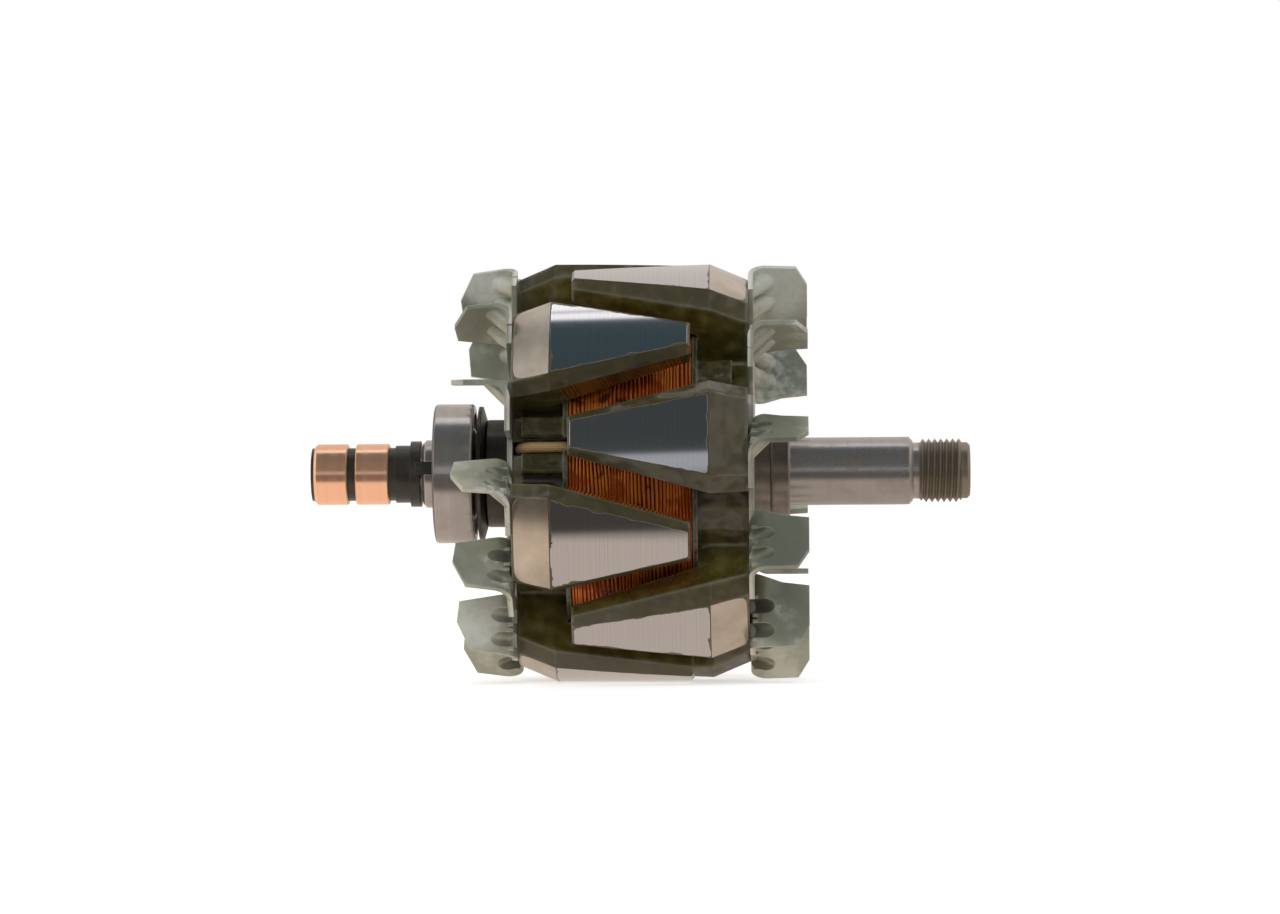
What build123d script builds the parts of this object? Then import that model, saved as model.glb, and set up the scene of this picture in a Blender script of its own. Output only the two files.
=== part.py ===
from build123d import *
from math import cos, radians, sin, sqrt
import os

# Rotor of a vehicle alternator: twelve interleaved claw poles round a field winding, two pressed
# fans, a sealed ball bearing and two slip rings on one shaft. Millimetres throughout.
# The shaft lies along X with its thread at +X, and +Z is up. The origin is on the shaft's axis at
# the shoulder that the drive-end bearing seats against. An angle round the shaft is 0 at the
# front (-Y) and grows towards the top.

os.makedirs("parts", exist_ok=True)

# Shaft, drive end
shaft_diameter = 17.0
core_seat_diameter = 17.6
seat_length = 30.8
seat_chamfer = 1.0
relief_diameter = 14.1
relief_length = 1.6
thread_diameter = 16.0
thread_length = 10.7
thread_chamfer = 0.9
dog_diameter = 14.1
dog_length = 2.0
dog_chamfer = 0.7

# Shaft, slip ring end
tail_length = 3.1
tail_round = 0.8
stub_diameter = 9.0
stub_setback = 0.3
lead_groove_width = 3.2
lead_groove_floor = 4.6
lead_groove_past_face = 3.0

# Collars between the drive bearing and the fan
drive_collar_length = 4.8
drive_collar_diameter = 22.6
spacer_ring_length = 4.0
spacer_ring_diameter = 21.0
collar_chamfer = 0.4

# Claw poles
drum_length = 57.7
drum_radius = 52.4
shoulder_length = 9.4
shoulder_drop = 4.0
plate_thickness = 12.5
valley_radius = 33.2
root_radius = 25.0
claws_per_pole = 6
claw_length = 43.6
claw_tip_thickness = 6.0
claw_tip_chamfer = 0.7
first_drive_claw_angle = 10.6
drive_face_half_angle = 11.3
rear_face_half_angle = 12.9
face_half_angle_tip = 3.7
flank_half_angle_root = 16.4
flank_half_angle_tip = 5.5
bevel_drop_root = 3.1
bevel_drop_tip = 2.0
foot_half_angle = 17.2
tip_foot_width = 5.6

# Core, bobbin and winding
core_radius = 26.5
bobbin_wall = 1.5
flange_thickness = 1.2
flange_radius = 40.2
coil_radius = 39.4
coil_to_claw = 1.6
pad_length = 10.2
pad_height = 4.2
pad_width = 5.0
pad_round = 0.9
lead_pad_gap = 4.2
anchor_pad_length = 8.5
anchor_pad_width = 8.0
pad_clearance = 0.1

# Leads and conductor bars
front_lead_angle = 10.6
sleeve_diameter = 2.8
sleeve_bore = 1.3
wire_diameter = 1.2
lead_clearance = 0.3
lead_bend = 3.6
sleeve_end_radius = 11.0
bar_width = 1.4
bar_height = 0.95
bar_floor = 5.0
bar_past_wire = 0.7
bar_contact_length = 5.0

# Fans
fan_sheet = 1.3
fan_inset = 0.6
fan_radius = drum_radius - fan_inset
fan_hub_radius = 36.5
blade_inner_radius = 38.0
blade_height = 14.7
bend_radius = 3.2
wing_radius = 48.5
wing_angle = 13.0
wing_foot = 31.0
wing_foot_angle = 9.0
fold_land = 3.0
gusset_leg = 2.2
gusset_width = 5.4
dimple_width = 3.6
gusset_stations = (4.3, 10.3)
drive_corner_drop = 2.8
drive_corner_slant = 5.0
drive_edge_lean = 0.4
drive_inner_lean = 1.2
drive_waist = 0.55
drive_foot_flare = 2.4
rear_corner_drop = 3.3
rear_corner_slant = 6.9
rear_edge_lean = 1.7
rear_inner_lean = 1.0
rear_inner_drop = 0.6
rear_foot_flare = 1.2
wing_overlap = 1.5
blade_past_foot = 4.0
# Outer angle of each blade and how far it turns on the way in; the pitch is uneven, to quiet it
drive_blades = (
    (82.0, 10.0), (45.0, 8.0), (8.6, 11.9), (-26.7, 10.7), (-56.4, 11.6), (-90.0, 11.0),
    (-120.0, 11.0), (-149.9, 12.6), (-176.0, 12.6), (142.5, 8.0), (112.0, 10.0),
)
rear_blades = (
    (88.0, 7.0), (54.2, 5.5), (25.6, 10.5), (-5.0, 9.5), (-33.3, 7.9), (-60.3, 6.8),
    (-96.0, 8.0), (-128.0, 8.0), (-160.0, 9.0), (167.0, 9.0), (129.0, 12.0), (107.0, 8.0),
)

# Rear collar, slinger and bearing
rear_collar_length = 6.9
rear_collar_diameter = 27.0
slinger_length = 1.9
slinger_diameter = 33.7
slinger_rim = 0.9
slinger_boss_length = 1.1
slinger_boss_diameter = 20.6
bearing_width = 10.0
bearing_diameter = 35.0
bearing_pitch_radius = 13.0
bearing_round = 0.8
inner_ring_round = 0.4
race_shoulder = 1.6
ball_diameter = 4.762
ball_count = 10
race_clearance = 0.09
cage_width = 5.6
cage_radial = 1.8
pocket_clearance = 0.04
seal_thickness = 1.1
seal_setback = 0.5
seal_recess = 0.8
seal_lip_gap = 0.15

# Slip ring carrier and rings
carrier_gap = 0.6
carrier_flange_length = 2.5
carrier_flange_diameter = 16.5
carrier_body_length = 3.8
carrier_body_diameter = 14.4
carrier_neck_length = 1.6
carrier_neck_diameter = 13.3
carrier_end_length = 0.7
slip_ring_diameter = 15.3
slip_ring_bore = 12.0
slip_ring_length = 8.4
slip_ring_gap = 2.0
slip_ring_chamfer = 0.3
slip_ring_lead_chamfer = 0.7
key_clearance = 0.1

# Stations along the shaft, worked out from the lengths above
relief_start = seat_length
thread_start = relief_start + relief_length
dog_start = thread_start + thread_length
shaft_end = dog_start + dog_length
spacer_start = -drive_collar_length
drive_fan_face = spacer_start - spacer_ring_length
drive_face = drive_fan_face - fan_sheet
rear_face = drive_face - drum_length
rear_fan_face = rear_face - fan_sheet
slinger_start = rear_fan_face - rear_collar_length
boss_start = slinger_start - slinger_length
bearing_start = boss_start - slinger_boss_length
bearing_end = bearing_start - bearing_width
bearing_middle = (bearing_start + bearing_end) / 2
tail_end = bearing_end - tail_length
carrier_start = tail_end - carrier_gap
carrier_body_start = carrier_start - carrier_flange_length
carrier_neck_start = carrier_body_start - carrier_body_length
inboard_ring_start = carrier_neck_start - carrier_neck_length
ring_gap_start = inboard_ring_start - slip_ring_length
outboard_ring_start = ring_gap_start - slip_ring_gap
outboard_ring_end = outboard_ring_start - slip_ring_length
carrier_end = outboard_ring_end - carrier_end_length
stub_end = carrier_end + stub_setback
coil_start = rear_face + plate_thickness
coil_end = drive_face - plate_thickness

shaft_radius = shaft_diameter / 2
core_seat_radius = core_seat_diameter / 2
claw_pitch = 360 / claws_per_pole
drive_claw_angles = [first_drive_claw_angle + i * claw_pitch for i in range(claws_per_pole)]
rear_claw_angles = [angle + claw_pitch / 2 for angle in drive_claw_angles]
lead_angles = {"front": front_lead_angle, "back": front_lead_angle + 180}
lead_groove_depth = sleeve_diameter + 2 * lead_clearance
lead_radius = valley_radius + lead_clearance + sleeve_diameter / 2
lead_station = rear_face + lead_clearance + sleeve_diameter / 2


def end_plane(x):
    """Plane across the shaft at x, whose polar angle is the angle round the shaft."""
    return Plane(origin=(x, 0, 0), x_dir=(0, -1, 0), z_dir=(-1, 0, 0))


def meridian_plane(angle):
    """Plane through the shaft's axis at an angle: local X runs along the shaft, local Y outwards."""
    return Plane(
        origin=(0, 0, 0),
        x_dir=(1, 0, 0),
        z_dir=(0, -sin(radians(angle)), -cos(radians(angle))),
    )


def polar(radius, angle):
    """Point of an end plane at a radius and an angle round the shaft."""
    return (radius * cos(radians(angle)), radius * sin(radians(angle)))


def claw_section(radius, face_half_angle, flank_half_angle, bevel_drop, foot):
    """Corners of a claw cut across the shaft: foot, flank, bevel, and a top above that radius."""
    face_corner = polar(radius, face_half_angle)
    flank_corner = polar(radius - bevel_drop, flank_half_angle)
    overshoot = 0.8
    top = [f + overshoot * (f - g) for f, g in zip(face_corner, flank_corner)]
    side = [foot, flank_corner, tuple(top)]
    return [(u, -v) for u, v in side] + [(u, v) for u, v in reversed(side)]


def claw(face, side, face_half_angle):
    """One claw pointing at the front, on the pole whose end face is at `face`, outwards = side."""
    root_foot = polar(root_radius, foot_half_angle)
    tip_foot = (drum_radius - 2 * claw_tip_thickness, tip_foot_width / 2)
    root_shape = (face_half_angle, flank_half_angle_root, bevel_drop_root, root_foot)
    tip_shape = (face_half_angle_tip, flank_half_angle_tip, bevel_drop_tip, tip_foot)
    sections = (
        (0, claw_section(drum_radius - shoulder_drop, *root_shape)),
        (shoulder_length, claw_section(drum_radius, *root_shape)),
        (claw_length, claw_section(drum_radius, *tip_shape)),
    )
    tip_radius = drum_radius - claw_tip_thickness
    underside = [
        (0, root_radius + 1),
        (0, drum_radius - shoulder_drop),
        (shoulder_length, drum_radius),
        (claw_length - claw_tip_chamfer, drum_radius),
        (claw_length, drum_radius - claw_tip_chamfer),
        (claw_length, tip_radius),
        (plate_thickness, coil_radius + coil_to_claw),
        (plate_thickness, root_radius + 1),
    ]
    with BuildPart() as one_claw:
        for depth, corners in sections:
            with BuildSketch(end_plane(face - side * depth)):
                with BuildLine():
                    Polyline(*corners, close=True)
                make_face()
        loft(ruled=True)
        with BuildSketch(Plane.XZ):
            with BuildLine():
                Polyline(*[(face - side * depth, r) for depth, r in underside], close=True)
            make_face()
        revolve(axis=Axis.X, mode=Mode.INTERSECT)
    return one_claw.part


def blade_ends(outer_angle, sweep):
    """Outer and inner end of a blade's middle plane, and the directions along it and to its land."""
    plane = end_plane(0)
    outer = plane.from_local_coords(polar(fan_radius, outer_angle))
    inner = plane.from_local_coords(polar(blade_inner_radius, outer_angle + sweep))
    along = (inner - outer).normalized()
    land = along.cross(Vector(1, 0, 0))
    return outer, inner, along, land


def gusset_plane(fold, rise, station, top, radius):
    """Plane square to a gusset, which lies at 45 degrees in the fold, centred on its round top."""
    centre = (top - radius * sqrt(2)) / 2
    slope = fold.y_dir * rise - fold.x_dir
    origin = fold.offset(station).from_local_coords((centre, rise * centre))
    return Plane(origin=origin, x_dir=fold.z_dir, z_dir=slope)


def folded_blade(face, side, outer_angle, sweep, outline):
    """One blade folded up from the fan's sheet, which lies on `face` and rises towards `side`."""
    outer, inner, along, land = blade_ends(outer_angle, sweep)
    chord = (inner - outer).length
    fold_offset = bend_radius + fan_sheet / 2
    origin = outer + land * fold_offset + Vector(face, 0, 0)
    fold = Plane(origin=origin, x_dir=land, z_dir=along)
    rise = -side
    middle = fan_sheet / 2
    corners = [(s, side * h) for s, h in outline(chord)]
    ridge = gusset_leg + fan_sheet
    hollow = ridge - fan_sheet * sqrt(2)
    ridge_corners = [
        (ridge - middle, middle),
        (-bend_radius - middle, ridge + bend_radius + middle),
        (-bend_radius - middle, middle),
    ]
    with BuildPart() as ridges:
        for station in gusset_stations:
            with BuildSketch(gusset_plane(fold, rise, station, ridge, gusset_width / 2)):
                Circle(gusset_width / 2)
                with Locations((0, -rise * blade_height / 2)):
                    Rectangle(gusset_width, blade_height)
            extrude(amount=blade_height, both=True)
        with BuildSketch(fold):
            with BuildLine():
                Polyline(*[(n, rise * h) for n, h in ridge_corners], close=True)
            make_face()
        extrude(amount=chord, mode=Mode.INTERSECT)
    with BuildPart() as blade:
        with BuildSketch(fold):
            with BuildLine():
                FilletPolyline(
                    (fold_land, rise * middle),
                    (-fold_offset, rise * middle),
                    (-fold_offset, rise * blade_height),
                    radius=fold_offset,
                )
            trace(line_width=fan_sheet)
        extrude(amount=chord + blade_past_foot)
        with BuildSketch(Plane(origin=outer + Vector(face, 0, 0), x_dir=along, z_dir=land)):
            with BuildLine():
                Polyline(*corners, close=True)
            make_face()
        extrude(amount=blade_height, both=True, mode=Mode.INTERSECT)
        add(ridges)
        for station in gusset_stations:
            with BuildSketch(gusset_plane(fold, rise, station, hollow, dimple_width / 2)):
                Circle(dimple_width / 2)
                with Locations((0, -rise * blade_height / 2)):
                    Rectangle(dimple_width, blade_height)
            extrude(amount=blade_height, both=True, mode=Mode.SUBTRACT)
    return blade.part


def drive_outline(chord):
    """Drive blade seen square on, from its outer edge inwards: chamfered corner, flared foot."""
    return [
        (0, 0),
        (drive_edge_lean, blade_height - drive_corner_drop),
        (drive_edge_lean + drive_corner_slant, blade_height),
        (chord - drive_inner_lean, blade_height),
        (chord - drive_inner_lean / 3, blade_height * drive_waist),
        (chord + drive_foot_flare, 0),
    ]


def rear_outline(chord):
    """Rear blade seen square on, from its outer edge inwards: long slanted corner."""
    return [
        (0, 0),
        (rear_edge_lean, blade_height - rear_corner_drop),
        (rear_edge_lean + rear_corner_slant, blade_height),
        (chord - rear_inner_lean, blade_height - rear_inner_drop),
        (chord + rear_foot_flare, 0),
    ]


def wing_corners(outer_angle, sweep):
    """Corners of the sheet that carries one blade, between its fold and the gap behind it."""
    outer, inner, along, land = blade_ends(outer_angle, sweep)
    fold_offset = bend_radius + fan_sheet / 2
    plane = end_plane(0)
    fold_out = plane.to_local_coords(outer + land * fold_offset)
    fold_in = plane.to_local_coords(inner + land * fold_offset + along * wing_overlap)
    return [
        polar(wing_foot, outer_angle + sweep),
        (fold_in.X, fold_in.Y),
        (fold_out.X, fold_out.Y),
        polar(wing_radius, outer_angle - wing_angle),
        polar(wing_foot, outer_angle + sweep - wing_foot_angle - wing_angle),
    ]


def fan(face, side, blades, outline):
    """A pressed fan: a hub disc with one wing and one folded blade at each blade angle."""
    folded = [folded_blade(face, side, angle, sweep, outline) for angle, sweep in blades]
    with BuildPart() as pressing:
        with BuildSketch(end_plane(face)):
            Circle(fan_hub_radius)
            for angle, sweep in blades:
                with BuildLine():
                    Polyline(*wing_corners(angle, sweep), close=True)
                make_face()
            Circle(core_seat_radius, mode=Mode.SUBTRACT)
        extrude(amount=-side * fan_sheet)
        add(folded)
    return pressing


def claw_pole(face, side, angles, face_half_angle):
    """One pole: a plate round the core's end and its claws."""
    single = claw(face, side, face_half_angle)
    claws = [single.rotate(Axis.X, -angle) for angle in angles]
    with BuildPart() as pole:
        with BuildSketch(end_plane(face)):
            Circle(valley_radius)
            Circle(core_seat_radius, mode=Mode.SUBTRACT)
        extrude(amount=side * plate_thickness)
        add(claws)
    return pole


# Shaft: bearing seat, undercut, threaded end and dog point, and the stub inside the slip rings
with BuildPart() as shaft:
    with BuildSketch(Plane.XZ):
        with BuildLine():
            Polyline(
                (stub_end, 0),
                (stub_end, stub_diameter / 2),
                (tail_end, stub_diameter / 2),
                (tail_end, shaft_radius - tail_round),
                (tail_end + tail_round, shaft_radius),
                (slinger_start, shaft_radius),
                (slinger_start, core_seat_radius),
                (0, core_seat_radius),
                (0, shaft_radius),
                (seat_length - seat_chamfer, shaft_radius),
                (seat_length, shaft_radius - seat_chamfer),
                (relief_start, relief_diameter / 2),
                (thread_start, relief_diameter / 2),
                (thread_start + thread_chamfer, thread_diameter / 2),
                (dog_start - thread_chamfer, thread_diameter / 2),
                (dog_start, dog_diameter / 2),
                (shaft_end - dog_chamfer, dog_diameter / 2),
                (shaft_end, dog_diameter / 2 - dog_chamfer),
                (shaft_end, 0),
                close=True,
            )
        make_face()
    revolve(axis=Axis.X)
    for angle in lead_angles.values():
        with BuildSketch(meridian_plane(angle)):
            with BuildLine():
                Polyline(
                    (tail_end - 1, lead_groove_floor),
                    (rear_face + lead_groove_past_face, lead_groove_floor),
                    (rear_face + lead_groove_past_face, core_seat_radius + 1),
                    (tail_end - 1, core_seat_radius + 1),
                    close=True,
                )
            make_face()
        extrude(amount=lead_groove_width / 2, both=True, mode=Mode.SUBTRACT)
shaft.part.label = "shaft"
export_step(shaft.part, "parts/shaft.step")

# Collar that the drive-end bearing seats against
with BuildPart() as drive_collar:
    with BuildSketch(end_plane(0)):
        Circle(drive_collar_diameter / 2)
        Circle(core_seat_radius, mode=Mode.SUBTRACT)
    extrude(amount=drive_collar_length)
    chamfer(drive_collar.edges().filter_by(GeomType.CIRCLE).group_by(SortBy.RADIUS)[-1], collar_chamfer)
drive_collar.part.label = "drive_collar"
export_step(drive_collar.part, "parts/drive_collar.step")

# Ring that clamps the drive fan
with BuildPart() as drive_spacer_ring:
    with BuildSketch(end_plane(spacer_start)):
        Circle(spacer_ring_diameter / 2)
        Circle(core_seat_radius, mode=Mode.SUBTRACT)
    extrude(amount=spacer_ring_length)
drive_spacer_ring.part.label = "drive_spacer_ring"
export_step(drive_spacer_ring.part, "parts/drive_spacer_ring.step")

# The two claw poles
drive_claw_pole = claw_pole(drive_face, 1, drive_claw_angles, drive_face_half_angle)
drive_claw_pole.part.label = "drive_claw_pole"
export_step(drive_claw_pole.part, "parts/drive_claw_pole.step")

rear_pole_blank = claw_pole(rear_face, -1, rear_claw_angles, rear_face_half_angle)
with BuildPart() as rear_claw_pole:
    add(rear_pole_blank.part)
    # A groove in the end face takes each lead from its valley down to the shaft
    for angle in lead_angles.values():
        with BuildSketch(meridian_plane(angle)):
            with BuildLine():
                Polyline(
                    (rear_face - 1, core_seat_radius - 1),
                    (rear_face + lead_groove_depth, core_seat_radius - 1),
                    (rear_face + lead_groove_depth, lead_radius - 2 * lead_bend),
                    (rear_face + lead_groove_depth + lead_bend, valley_radius + 1),
                    (rear_face - 1, valley_radius + 1),
                    close=True,
                )
            make_face()
        extrude(amount=lead_groove_depth / 2, both=True, mode=Mode.SUBTRACT)
rear_claw_pole.part.label = "rear_claw_pole"
export_step(rear_claw_pole.part, "parts/rear_claw_pole.step")

# Core between the plates
with BuildPart() as pole_core:
    with BuildSketch(end_plane(coil_end)):
        Circle(core_radius)
        Circle(core_seat_radius, mode=Mode.SUBTRACT)
    extrude(amount=coil_end - coil_start)
pole_core.part.label = "pole_core"
export_step(pole_core.part, "parts/pole_core.step")

# Bobbin: tube, two flanges, and pads that grip the leads in the valleys
with BuildPart() as coil_bobbin:
    with BuildSketch(end_plane(coil_end)):
        Circle(core_radius + bobbin_wall)
        Circle(core_radius, mode=Mode.SUBTRACT)
    extrude(amount=coil_end - coil_start)
    for flange_start in (coil_end, coil_start + flange_thickness):
        with BuildSketch(end_plane(flange_start)):
            Circle(flange_radius)
            Circle(core_radius, mode=Mode.SUBTRACT)
        extrude(amount=flange_thickness)
    for angle in lead_angles.values():
        with BuildSketch(end_plane(coil_start + flange_thickness / 2)) as lead_pads:
            for hand in (-1, 1):
                middle = hand * (lead_pad_gap + pad_width) / 2
                height = valley_radius + pad_height / 2
                turned = (
                    height * cos(radians(angle)) - middle * sin(radians(angle)),
                    height * sin(radians(angle)) + middle * cos(radians(angle)),
                )
                with Locations(Location(turned, angle)):
                    RectangleRounded(pad_height + 2, pad_width, pad_round)
            Circle(valley_radius + pad_clearance, mode=Mode.SUBTRACT)
        extrude(amount=pad_length + flange_thickness / 2)
        with BuildSketch(end_plane(coil_start + 2 * flange_thickness)):
            with Locations(Location(polar(flange_radius, angle), angle)):
                Rectangle(2 * (flange_radius - valley_radius), lead_groove_depth)
        extrude(amount=3 * flange_thickness, mode=Mode.SUBTRACT)
    for angle in (rear_claw_angles[0], rear_claw_angles[3]):
        with BuildSketch(end_plane(coil_end - flange_thickness / 2)):
            with Locations(Location(polar(valley_radius + pad_height / 2, angle), angle)):
                RectangleRounded(pad_height + 2, anchor_pad_width, pad_round)
            Circle(valley_radius + pad_clearance, mode=Mode.SUBTRACT)
        extrude(amount=-anchor_pad_length - flange_thickness / 2)
coil_bobbin.part.label = "coil_bobbin"
export_step(coil_bobbin.part, "parts/coil_bobbin.step")

# Field winding
with BuildPart() as field_coil:
    with BuildSketch(end_plane(coil_end - flange_thickness)):
        Circle(coil_radius)
        Circle(core_radius + bobbin_wall, mode=Mode.SUBTRACT)
    extrude(amount=coil_end - coil_start - 2 * flange_thickness)
field_coil.part.label = "field_coil"
export_step(field_coil.part, "parts/field_coil.step")

# Leads: a wire inside a sleeve, out of the winding, along a valley and down to a conductor bar
bar_top = bar_floor + bar_height
wire_start = coil_start + flange_thickness
for name, angle in lead_angles.items():
    with BuildPart() as lead_sleeve:
        with BuildLine(meridian_plane(angle)) as sleeve_route:
            FilletPolyline(
                (wire_start - lead_clearance, lead_radius),
                (lead_station, lead_radius),
                (lead_station, sleeve_end_radius),
                radius=lead_bend,
            )
        with BuildSketch(Plane(origin=sleeve_route.line @ 0, z_dir=sleeve_route.line % 0)):
            Circle(sleeve_diameter / 2)
            Circle(sleeve_bore / 2, mode=Mode.SUBTRACT)
        sweep(path=sleeve_route.line)
    lead_sleeve.part.label = name + "_lead_sleeve"
    export_step(lead_sleeve.part, "parts/" + name + "_lead_sleeve.step")

    with BuildPart() as lead_wire:
        with BuildLine(meridian_plane(angle)) as wire_route:
            FilletPolyline(
                (wire_start, lead_radius),
                (lead_station, lead_radius),
                (lead_station, bar_top),
                radius=lead_bend,
            )
        with BuildSketch(Plane(origin=wire_route.line @ 0, z_dir=wire_route.line % 0)):
            Circle(wire_diameter / 2)
        sweep(path=wire_route.line)
    lead_wire.part.label = name + "_lead_wire"
    export_step(lead_wire.part, "parts/" + name + "_lead_wire.step")

# Conductor bars: the front lead feeds the outboard slip ring, the back lead the inboard one
bar_start = lead_station + wire_diameter / 2 + bar_past_wire
ring_middles = {
    "front": outboard_ring_start - slip_ring_length / 2,
    "back": inboard_ring_start - slip_ring_length / 2,
}
bar_ends = {name: middle - bar_contact_length / 2 for name, middle in ring_middles.items()}
for name, angle in lead_angles.items():
    with BuildPart() as conductor_bar:
        with BuildSketch(meridian_plane(angle)):
            with Locations(((bar_start + bar_ends[name]) / 2, bar_floor + bar_height / 2)):
                Rectangle(bar_start - bar_ends[name], bar_height)
        extrude(amount=bar_width / 2, both=True)
    conductor_bar.part.label = name + "_conductor_bar"
    export_step(conductor_bar.part, "parts/" + name + "_conductor_bar.step")

# Fans
drive_fan = fan(drive_face, 1, drive_blades, drive_outline)
drive_fan.part.label = "drive_fan"
export_step(drive_fan.part, "parts/drive_fan.step")

rear_fan = fan(rear_face, -1, rear_blades, rear_outline)
rear_fan.part.label = "rear_fan"
export_step(rear_fan.part, "parts/rear_fan.step")

# Collar between the rear fan and the bearing
with BuildPart() as rear_spacer_collar:
    with BuildSketch(end_plane(rear_fan_face)):
        Circle(rear_collar_diameter / 2)
        Circle(core_seat_radius, mode=Mode.SUBTRACT)
    extrude(amount=rear_collar_length)
    rims = rear_spacer_collar.edges().filter_by(GeomType.CIRCLE).group_by(SortBy.RADIUS)[-1]
    chamfer(rims, collar_chamfer)
rear_spacer_collar.part.label = "rear_spacer_collar"
export_step(rear_spacer_collar.part, "parts/rear_spacer_collar.step")

# Slinger disc that keeps dust off the bearing, with a boss on the bearing's inner ring
with BuildPart() as slinger_disc:
    with BuildSketch(Plane.XZ):
        with BuildLine():
            Polyline(
                (slinger_start, shaft_radius),
                (slinger_start, rear_collar_diameter / 2),
                (boss_start + slinger_rim, slinger_diameter / 2),
                (boss_start, slinger_diameter / 2),
                (boss_start, slinger_boss_diameter / 2),
                (bearing_start, slinger_boss_diameter / 2),
                (bearing_start, shaft_radius),
                close=True,
            )
        make_face()
    revolve(axis=Axis.X)
slinger_disc.part.label = "slinger_disc"
export_step(slinger_disc.part, "parts/slinger_disc.step")

# Rear bearing: grooved rings, balls, cage and two seals
inner_shoulder = bearing_pitch_radius - race_shoulder
outer_shoulder = bearing_pitch_radius + race_shoulder
race_radius = ball_diameter / 2 + race_clearance

with BuildPart() as bearing_inner_ring:
    with BuildSketch(end_plane(bearing_start)):
        Circle(inner_shoulder)
        Circle(shaft_radius, mode=Mode.SUBTRACT)
    extrude(amount=bearing_width)
    rims = bearing_inner_ring.edges().filter_by(GeomType.CIRCLE).group_by(SortBy.RADIUS)[-1]
    chamfer(rims, inner_ring_round)
    with BuildSketch(Plane.XZ):
        with Locations((bearing_middle, bearing_pitch_radius)):
            Circle(race_radius)
    revolve(axis=Axis.X, mode=Mode.SUBTRACT)
bearing_inner_ring.part.label = "bearing_inner_ring"
export_step(bearing_inner_ring.part, "parts/bearing_inner_ring.step")

with BuildPart() as bearing_outer_ring:
    with BuildSketch(end_plane(bearing_start)):
        Circle(bearing_diameter / 2)
        Circle(outer_shoulder, mode=Mode.SUBTRACT)
    extrude(amount=bearing_width)
    rims = bearing_outer_ring.edges().filter_by(GeomType.CIRCLE).group_by(SortBy.RADIUS)[-1]
    fillet(rims, bearing_round)
    with BuildSketch(Plane.XZ):
        with Locations((bearing_middle, bearing_pitch_radius)):
            Circle(race_radius)
    revolve(axis=Axis.X, mode=Mode.SUBTRACT)
    recess_depth = seal_setback + seal_thickness
    for recess_start in (bearing_start, bearing_end + recess_depth):
        with BuildSketch(end_plane(recess_start)):
            Circle(outer_shoulder + seal_recess)
        extrude(amount=recess_depth, mode=Mode.SUBTRACT)
bearing_outer_ring.part.label = "bearing_outer_ring"
export_step(bearing_outer_ring.part, "parts/bearing_outer_ring.step")

ball_angles = [i * 360 / ball_count for i in range(ball_count)]
ball_centres = [
    end_plane(bearing_middle).from_local_coords(polar(bearing_pitch_radius, angle))
    for angle in ball_angles
]
with BuildPart() as bearing_balls:
    with Locations(*ball_centres):
        Sphere(ball_diameter / 2)
bearing_balls.part.label = "bearing_balls"
export_step(bearing_balls.part, "parts/bearing_balls.step")

with BuildPart() as bearing_cage:
    with BuildSketch(end_plane(bearing_middle + cage_width / 2)):
        Circle(bearing_pitch_radius + cage_radial / 2)
        Circle(bearing_pitch_radius - cage_radial / 2, mode=Mode.SUBTRACT)
    extrude(amount=cage_width)
    with Locations(*ball_centres):
        Sphere(ball_diameter / 2 + pocket_clearance, mode=Mode.SUBTRACT)
bearing_cage.part.label = "bearing_cage"
export_step(bearing_cage.part, "parts/bearing_cage.step")

seal_faces = {
    "inboard": bearing_start - seal_setback,
    "outboard": bearing_end + seal_setback + seal_thickness,
}
for name, seal_face in seal_faces.items():
    with BuildPart() as bearing_seal:
        with BuildSketch(end_plane(seal_face)):
            Circle(outer_shoulder + seal_recess)
            Circle(inner_shoulder + seal_lip_gap, mode=Mode.SUBTRACT)
        extrude(amount=seal_thickness)
    bearing_seal.part.label = name + "_bearing_seal"
    export_step(bearing_seal.part, "parts/" + name + "_bearing_seal.step")

# Slip ring carrier: moulding round the stub, with a key strip in each lead groove of the shaft
ring_seat = slip_ring_bore / 2
neck_radius = carrier_neck_diameter / 2
with BuildPart() as slip_ring_carrier:
    with BuildSketch(Plane.XZ):
        with BuildLine():
            Polyline(
                (carrier_start, stub_diameter / 2),
                (carrier_start, carrier_flange_diameter / 2),
                (carrier_body_start, carrier_flange_diameter / 2),
                (carrier_body_start, carrier_body_diameter / 2),
                (carrier_neck_start, carrier_body_diameter / 2),
                (carrier_neck_start, neck_radius),
                (inboard_ring_start, neck_radius),
                (inboard_ring_start, ring_seat),
                (ring_gap_start, ring_seat),
                (ring_gap_start, neck_radius),
                (outboard_ring_start, neck_radius),
                (outboard_ring_start, ring_seat),
                (outboard_ring_end, ring_seat),
                (outboard_ring_end, neck_radius),
                (carrier_end, neck_radius),
                (carrier_end, stub_diameter / 2),
                close=True,
            )
        make_face()
    revolve(axis=Axis.X)
    key_floor = lead_groove_floor + key_clearance
    key_half_width = lead_groove_width / 2 - key_clearance
    key_top = sqrt(shaft_radius**2 - key_half_width**2) - key_clearance
    key_start = rear_fan_face - key_clearance
    for name, angle in lead_angles.items():
        with BuildSketch(meridian_plane(angle)):
            with BuildLine():
                Polyline(
                    (carrier_start - 1, key_floor),
                    (key_start, key_floor),
                    (key_start, key_top),
                    (carrier_start - 1, key_top),
                    close=True,
                )
            make_face()
        extrude(amount=key_half_width, both=True)
        with BuildSketch(meridian_plane(angle)):
            with Locations(((bar_start + bar_ends[name]) / 2, bar_floor + bar_height / 2)):
                Rectangle(bar_start - bar_ends[name], bar_height)
            with Locations((ring_middles[name], bar_floor + ring_seat / 2)):
                Rectangle(bar_contact_length, ring_seat)
        extrude(amount=bar_width / 2, both=True, mode=Mode.SUBTRACT)
slip_ring_carrier.part.label = "slip_ring_carrier"
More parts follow.
